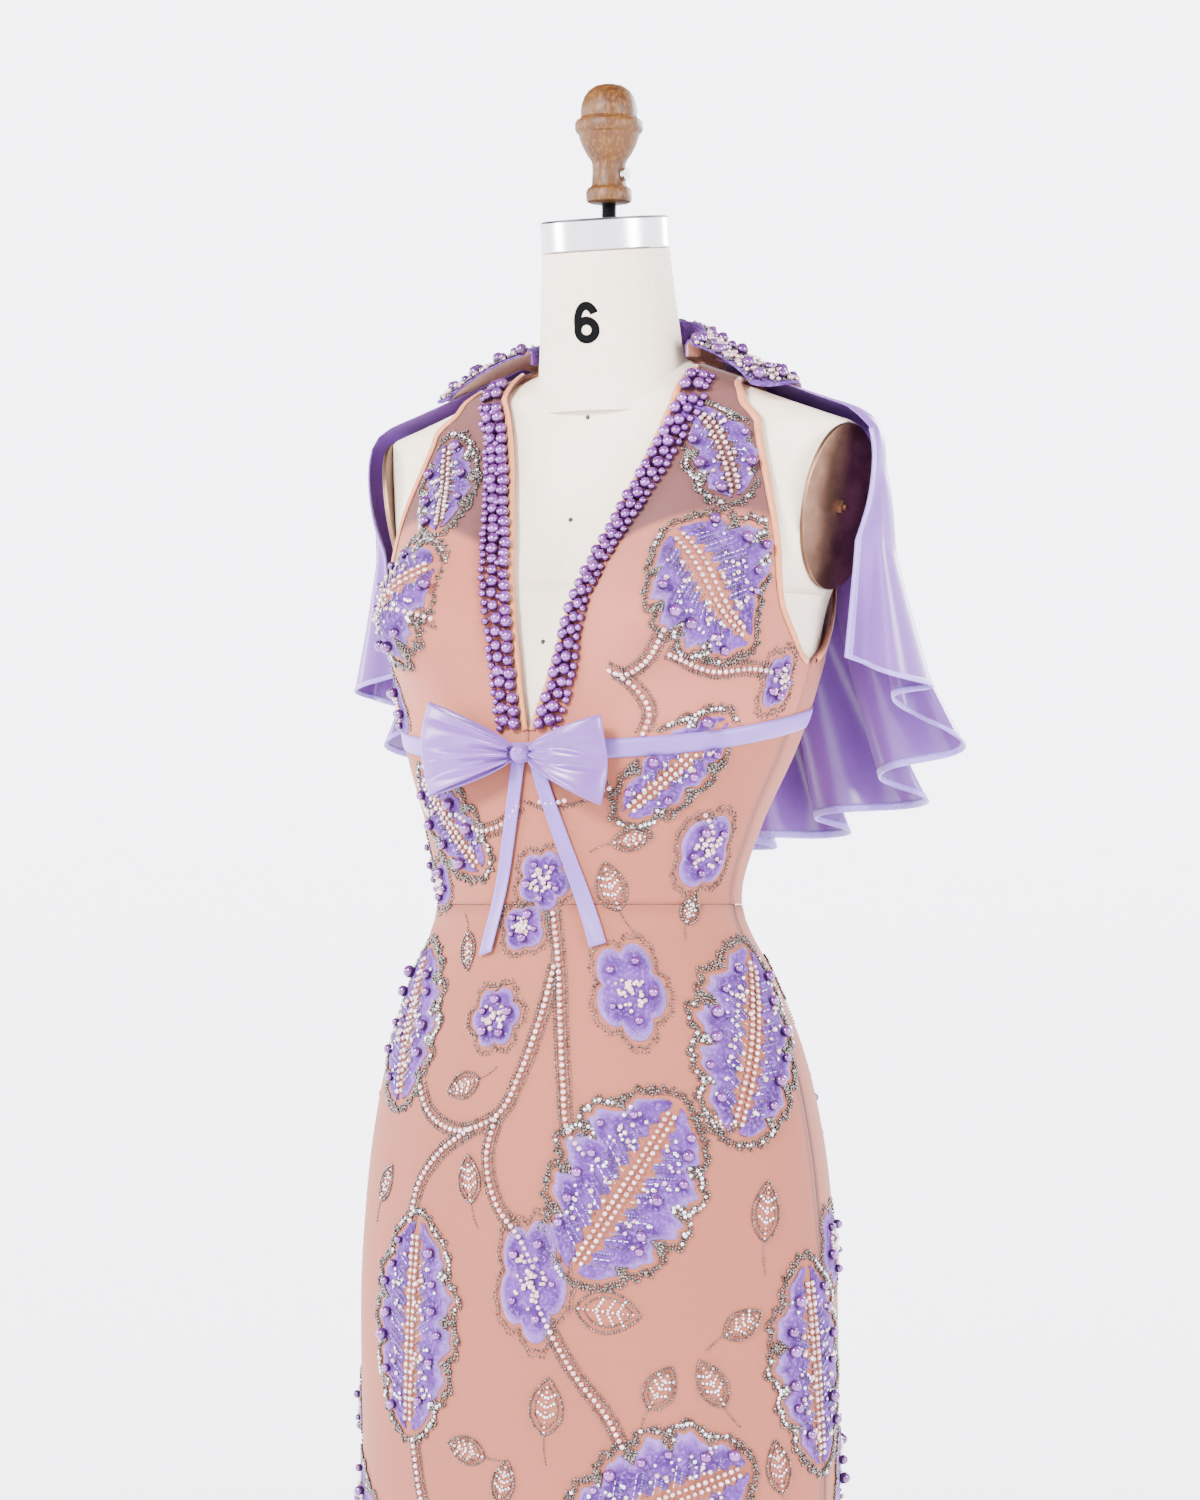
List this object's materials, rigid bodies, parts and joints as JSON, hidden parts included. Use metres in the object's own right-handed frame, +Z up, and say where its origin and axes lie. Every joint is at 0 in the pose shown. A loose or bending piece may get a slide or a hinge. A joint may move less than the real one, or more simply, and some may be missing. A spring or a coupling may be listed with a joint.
{
  "type": "cape evening dress on dress form",
  "caption": "Floor-length halter evening dress with beaded leaf embroidery, pearl-edged V neck, bow and satin cape, on a limbless dress form with a stand.",
  "frame": {"origin": "on the floor under the middle of the stand's foot, on the pole's axis", "axes": "+Z up along the pole, the dress faces -Y, +X is the wearer's left"},
  "size_m": [0.4546, 0.41, 1.6159],
  "materials": {
    "linen": "plain woven cream linen, matte",
    "steel": "brushed",
    "dark_steel": "black satin paint",
    "plate_metal": "brown, worn satin",
    "wood": "mottled golden brown, satin varnish",
    "tulle": "dusty pink tulle over nude lining, matte",
    "sheer_mesh": "mauve pink tulle, matte",
    "binding": "peach binding, soft sheen",
    "satin": "iridescent lilac satin, glossy",
    "ribbon": "lilac ribbon, satin and velvet",
    "velvet": "lilac velvet pile",
    "pearl": "purple pearl, glossy",
    "white_pearl": "white to pink pearl, glossy",
    "silver_bead": "silver grey glass",
    "sequin": "silver sequins",
    "print": "black print"
  },
  "bodies": {
    "root": {"form_torso": "linen", "neck_cap": "steel", "knob_rod": "dark_steel", "knob": "wood", "knob_set_screw": "steel", "arm_plate_left": "plate_metal", "arm_plate_right": "plate_metal", "stand_pole": "steel", "stand_foot": "dark_steel", "bodice_front_left": "sheer_mesh", "bodice_front_right": "sheer_mesh", "bodice_back_left": "sheer_mesh", "bodice_back_right": "sheer_mesh", "midriff_front": "tulle", "skirt_front": "tulle", "skirt_back_left": "tulle", "skirt_back_right": "tulle", "neck_binding_left": "binding", "neck_binding_right": "binding", "arm_binding_front_left": "binding", "arm_binding_front_right": "binding", "arm_binding_back_left": "binding", "arm_binding_back_right": "binding", "pearl_band_left": "pearl", "pearl_band_right": "pearl", "waist_ribbon": "ribbon", "bow_loop_left": "satin", "bow_loop_right": "satin", "bow_knot": "satin", "bow_tail_left": "ribbon", "bow_tail_right": "ribbon", "collar": "velvet", "cape": "satin", "leaf_bust_left": "velvet", "leaf_bust_right": "velvet", "leaf_midriff_right": "velvet", "leaf_hip_right": "velvet", "leaf_hip_left": "velvet", "leaf_thigh_left": "velvet", "leaf_thigh_right": "velvet", "leaf_knee_left": "velvet"}
  },
  "joints": []
}
